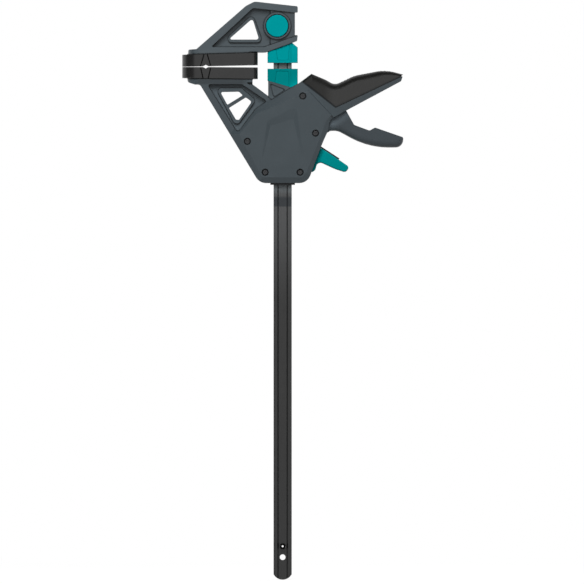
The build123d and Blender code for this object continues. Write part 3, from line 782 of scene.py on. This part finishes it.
def makeTrigger():
    shape = slab(trigger["blade"], -trigger["half"], trigger["half"])
    roll(shape, rims(shape, onBelly), *trigger["belly"])
    roll(shape, rims(shape, onBladeTop), *trigger["edge"])
    finishLever(showShape(shape, "triggerBlade"), trigger, "lever_plastic", "trigger", "trigger")


makeTrigger()

releaseLever = {
    "half": 7.0, "edge": (1.8, 5), "pivot": (29.5, -99.0), "hub": 5.5, "bore": 2.55,
    "outline": [
        (38.5, -87.45), (61.7, -102.64), (73.5, -110.8, 3.4), (69.5, -117.0, 4), (57.7, -113.2, 40),
        (42.0, -106.0, 3.5), (37.8, -107.4, 3.5), (35.9, -114.2, 3), (31.7, -117.3, 2),
        (26.5, -108.0), (25.0, -97.0), (30.5, -93.8),
    ],
    "arm": 15.75, "angle": 23.0, "nose": 3.0, "armEnds": (1.8, 4.0), "armHalf": 5.0,
}


def makeRelease():
    shape = slab(releaseLever["outline"], -releaseLever["half"], releaseLever["half"])
    roll(shape, rims(shape, lambda x, z: True), *releaseLever["edge"])
    piece = showShape(shape, "releaseTail")
    finishLever(piece, releaseLever, "lever_teal_lit", "release", "release_lever", "teal_plastic")


makeRelease()

shellScrews = {
    "places": [(22.1, -32.9), (36.2, -73.7), (-38.8, -82.7), (-19.2, -116.7), (19.2, -116.7)],
    "head": 3.4, "seat": -14.2, "height": 2.2, "domeHeights": (1.05, 0.7, 0.3, 0.0),
    "domeInsets": (0.0, 0.15, 0.7, 1.4), "socket": 2.5, "socketDepth": 1.2,
    "shank": 1.6, "length": 24.0, "tipInset": 0.5, "tipLength": 1.0, "sides": 40,
    "firstTurn": 13, "nextTurn": 23, "fold": 35,
}


def makeScrew(x, z):
    # half profile from the tip of the shank to the top of the dome, spun round the screw's axis
    seat, shank, head = (shellScrews[key] for key in ("seat", "shank", "head"))
    end, top = seat + shellScrews["length"], seat - shellScrews["height"]
    dome = [
        (head - inset, top + height)
        for inset, height in zip(shellScrews["domeInsets"], shellScrews["domeHeights"])
    ]
    profile = [
        (0, end), (shank - shellScrews["tipInset"], end), (shank, end - shellScrews["tipLength"]),
        (shank, seat), (head, seat), *dome, (0, top),
    ]
    shape = bmesh.new()
    line = [shape.verts.new(((x + out) * mm, y * mm, jawPlane + z * mm)) for out, y in profile]
    edges = [shape.edges.new(pair) for pair in zip(line, line[1:])]
    bmesh.ops.spin(
        shape, geom=line + edges, cent=(x * mm, 0, jawPlane + z * mm), axis=(0, 1, 0),
        angle=2 * math.pi, steps=shellScrews["sides"], use_merge=True,
    )
    bmesh.ops.remove_doubles(shape, verts=shape.verts[:], dist=weldReach * mm)
    bmesh.ops.recalc_face_normals(shape, faces=shape.faces[:])
    return shape


def hexSocket(x, z, degrees):
    across, depth = shellScrews["socket"], shellScrews["socketDepth"]
    socket = disc(x, z, across / math.sqrt(3), depth, 6)
    turn = Matrix.Rotation(math.radians(degrees), 4, "Y")
    middle = (x * mm, 0, jawPlane + z * mm)
    bmesh.ops.rotate(socket, verts=socket.verts[:], cent=middle, matrix=turn)
    shift = (0, (shellScrews["seat"] - shellScrews["height"]) * mm, 0)
    bmesh.ops.translate(socket, vec=shift, verts=socket.verts[:])
    return socket


def makeScrews():
    whole = bmesh.new()
    for number, (x, z) in enumerate(shellScrews["places"]):
        piece = showShape(makeScrew(x, z), "screw")
        degrees = shellScrews["firstTurn"] + shellScrews["nextTurn"] * number
        combine(piece, "DIFFERENCE", hexSocket(x, z, degrees))
        whole.from_mesh(piece.data)
        bpy.data.objects.remove(piece)
    piece = showShape(whole, "screwHeads")
    tidy(piece, shellScrews["fold"])
    mount(piece, "dark_steel", "carriage", "shell_screws")


makeScrews()

coils = {
    "driveCoil": {
        "node": "drive_spring", "body": "carriage", "radius": 12.2, "wire": 0.75, "turns": 5.5,
        "ends": (456.1, 480.5), "joint": "drive_slide", "keep": 0.49,
    },
    "brakeCoil": {
        "node": "brake_spring", "body": "carriage", "radius": 12.2, "wire": 0.75, "turns": 2.5,
        "ends": (420.6, 435.8),
    },
    "buttonCoil": {
        "node": "lock_button_spring", "body": "rail", "radius": 6.5, "wire": 0.45, "turns": 2.0,
        "ends": (6.1, 12.28), "joint": "lock_press", "keep": 0.41, "middle": (-3.5, 584.2),
    },
}
coilSides = 10
coilSteps = 24    # per turn


def windWire(coil):
    # a small round face, turned edge on to the coil's axis, is swept up in a spiral
    low, high = coil["ends"]
    wire = coil["wire"]
    steps = round(coil["turns"] * coilSteps)
    edgeOn = Matrix.Rotation(math.pi / 2, 4, "X") @ Matrix.Rotation(-math.pi / 2, 4, "Z")
    start = Matrix.Translation((coil["radius"], 0, low + wire)) @ edgeOn
    shape = bmesh.new()
    bmesh.ops.create_circle(shape, cap_ends=True, segments=coilSides, radius=wire, matrix=start)
    bmesh.ops.spin(
        shape, geom=shape.faces[:], cent=(0, 0, 0), axis=(0, 0, 1),
        dvec=(0, 0, (high - low - 2 * wire) / steps),
        angle=2 * math.pi * coil["turns"], steps=steps, use_merge=False,
    )
    return shape


def makeCoil(name, coil):
    # upright round the rail, or lying behind the button
    shape = windWire(coil)
    low = coil["ends"][0]
    place = Matrix.Scale(mm, 4)
    axis, anchor = (0, 0, 1), (0, 0, low * mm)
    if "middle" in coil:
        x, z = coil["middle"]
        lying = Matrix.Translation((x, 0, z)) @ Matrix.Rotation(math.pi / 2, 4, "X")
        place = place @ lying
        axis, anchor = (0, 1, 0), (x * mm, -low * mm, z * mm)
    bmesh.ops.transform(shape, matrix=place, verts=shape.verts[:])
    bmesh.ops.recalc_face_normals(shape, faces=shape.faces[:])
    markFolds(shape)
    piece = showShape(shape, name)
    mount(piece, "bright_steel", coil["body"], coil["node"])
    if "joint" in coil:
        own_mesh(piece)


for name, coil in coils.items():
    makeCoil(name, coil)

studio = {
    "frontGloss": 1.2, "frontArc": (0.82, 0.985), "backGloss": 0.9, "backArc": (-0.15, 0.3),
    "fillAbove": 0.55, "fillLevel": 0.3, "fillBelow": 0.15, "fillArc": 0.9,
    "key": 8.1, "keyPlace": (-0.15, -1.0, 1.02), "keySize": 0.5,
    "side": 4.5, "sidePlace": (1.1, 0.35, 0.85), "sideSize": 0.8,
    "rear": 9.0, "rearPlace": (0.5, 1.0, 1.2), "rearSize": 0.9, "aim": (0.0, 0.0, 0.45),
    "floorSize": 9.0, "floorGlow": 0.75, "floorFade": (0.25, 1.3),
    "floorShade": (90, 92, 94), "floorTone": (250, 250, 250),
    "view": 0.6424, "lens": 1000.0, "sensor": 36.0, "middle": (0.0103, 0.2917),
}


def seenDirectly(sheet):
    rays = [sheet.add("LightPath", out=kind) for kind in ("Is Camera Ray", "Is Transmission Ray")]
    return (rays[0] + rays[1]).atMost(1.0)


def makeFloor():
    shape = bmesh.new()
    bmesh.ops.create_grid(shape, x_segments=1, y_segments=1, size=studio["floorSize"])
    bmesh.ops.translate(shape, vec=(0, 0, cadBox[0].z), verts=shape.verts[:])
    floor = showShape(shape, "floor")
    material = bpy.data.materials.new("paleFloor")
    sheet = Sheet(material)
    seen = seenDirectly(sheet)
    glossy = sheet.add("LightPath", out="Is Glossy Ray")
    length = sheet.add("VectorMath", {"operation": "LENGTH"}, {0: sheet.place()}, out="Value")
    glow = studio["floorGlow"] + (1.0 - studio["floorGlow"]) * length.fade(*studio["floorFade"])
    # the pale floor throws little light back at the object
    tone = sheet.mixColor(seen, rgb(*studio["floorShade"]), rgb(*studio["floorTone"]))
    lit = sheet.add("BsdfDiffuse", values={"Color": tone})
    bright = sheet.add("Emission", values={"Color": white, "Strength": 1.0})
    share = (seen * glow + glossy).atMost(1.0)
    both = sheet.add("MixShader", values={0: share, 1: lit, 2: bright})
    sheet.add("OutputMaterial", values={"Surface": both})
    floor.data.materials.append(material)


def makeWorld():
    world = bpy.data.worlds.new("studio")
    bpy.context.scene.world = world
    sheet = Sheet(world)
    toward = sheet.add("TexCoord", out="Generated")
    across, height = (sheet.add("SeparateXYZ", values={0: toward}, out=axis) for axis in "YZ")
    glossy = sheet.add("LightPath", out="Is Glossy Ray")
    seen = seenDirectly(sheet)
    # reflections: a softbox behind the camera, dark sides, and the white backdrop
    front = (-1.0 * across).fade(*studio["frontArc"]) * studio["frontGloss"]
    back = across.fade(*studio["backArc"]) * studio["backGloss"]
    below, level, above = (studio[key] for key in ("fillBelow", "fillLevel", "fillAbove"))
    arc = studio["fillArc"]
    fill = below + (level - below) * height.fade(-arc, 0.0)
    fill = fill + (above - level) * height.fade(0.0, arc)
    strength = seen + (1.0 - seen) * (glossy * (front + back) + (1.0 - glossy) * fill)
    backdrop = sheet.add("Background", values={"Color": white, "Strength": strength})
    sheet.add("OutputWorld", values={"Surface": backdrop})


def softbox(name, place, size, power):
    lamp = bpy.data.lights.new(name, "AREA")
    lamp.shape = "SQUARE"
    lamp.size = size
    lamp.energy = power
    holder = bpy.data.objects.new(name, lamp)
    bpy.context.scene.collection.objects.link(holder)
    aim = (Vector(studio["aim"]) - Vector(place)).to_track_quat("-Z", "Y")
    holder.matrix_world = Matrix.Translation(place) @ aim.to_matrix().to_4x4()
    holder.visible_camera = False
    holder.visible_glossy = False


def makeLights():
    softbox("keyBox", studio["keyPlace"], studio["keySize"], studio["key"])
    softbox("rearBox", studio["rearPlace"], studio["rearSize"], studio["rear"])
    x, y, z = studio["sidePlace"]
    softbox("rightBox", (x, y, z), studio["sideSize"], studio["side"])
    softbox("leftBox", (-x, y, z), studio["sideSize"], studio["side"])


def makeCamera():
    lens = bpy.data.cameras.new("camera")
    lens.lens = studio["lens"]
    lens.sensor_width = studio["sensor"]
    lens.clip_end = 50
    camera = bpy.data.objects.new("camera", lens)
    bpy.context.scene.collection.objects.link(camera)
    x, z = studio["middle"]
    camera.location = (x, -studio["view"] * studio["lens"] / studio["sensor"], z)
    camera.rotation_euler = (math.pi / 2, 0, 0)
    bpy.context.scene.camera = camera


makeFloor()
makeWorld()
makeLights()
makeCamera()
bpy.context.scene.view_settings.view_transform = "Standard"
print("studio ready")
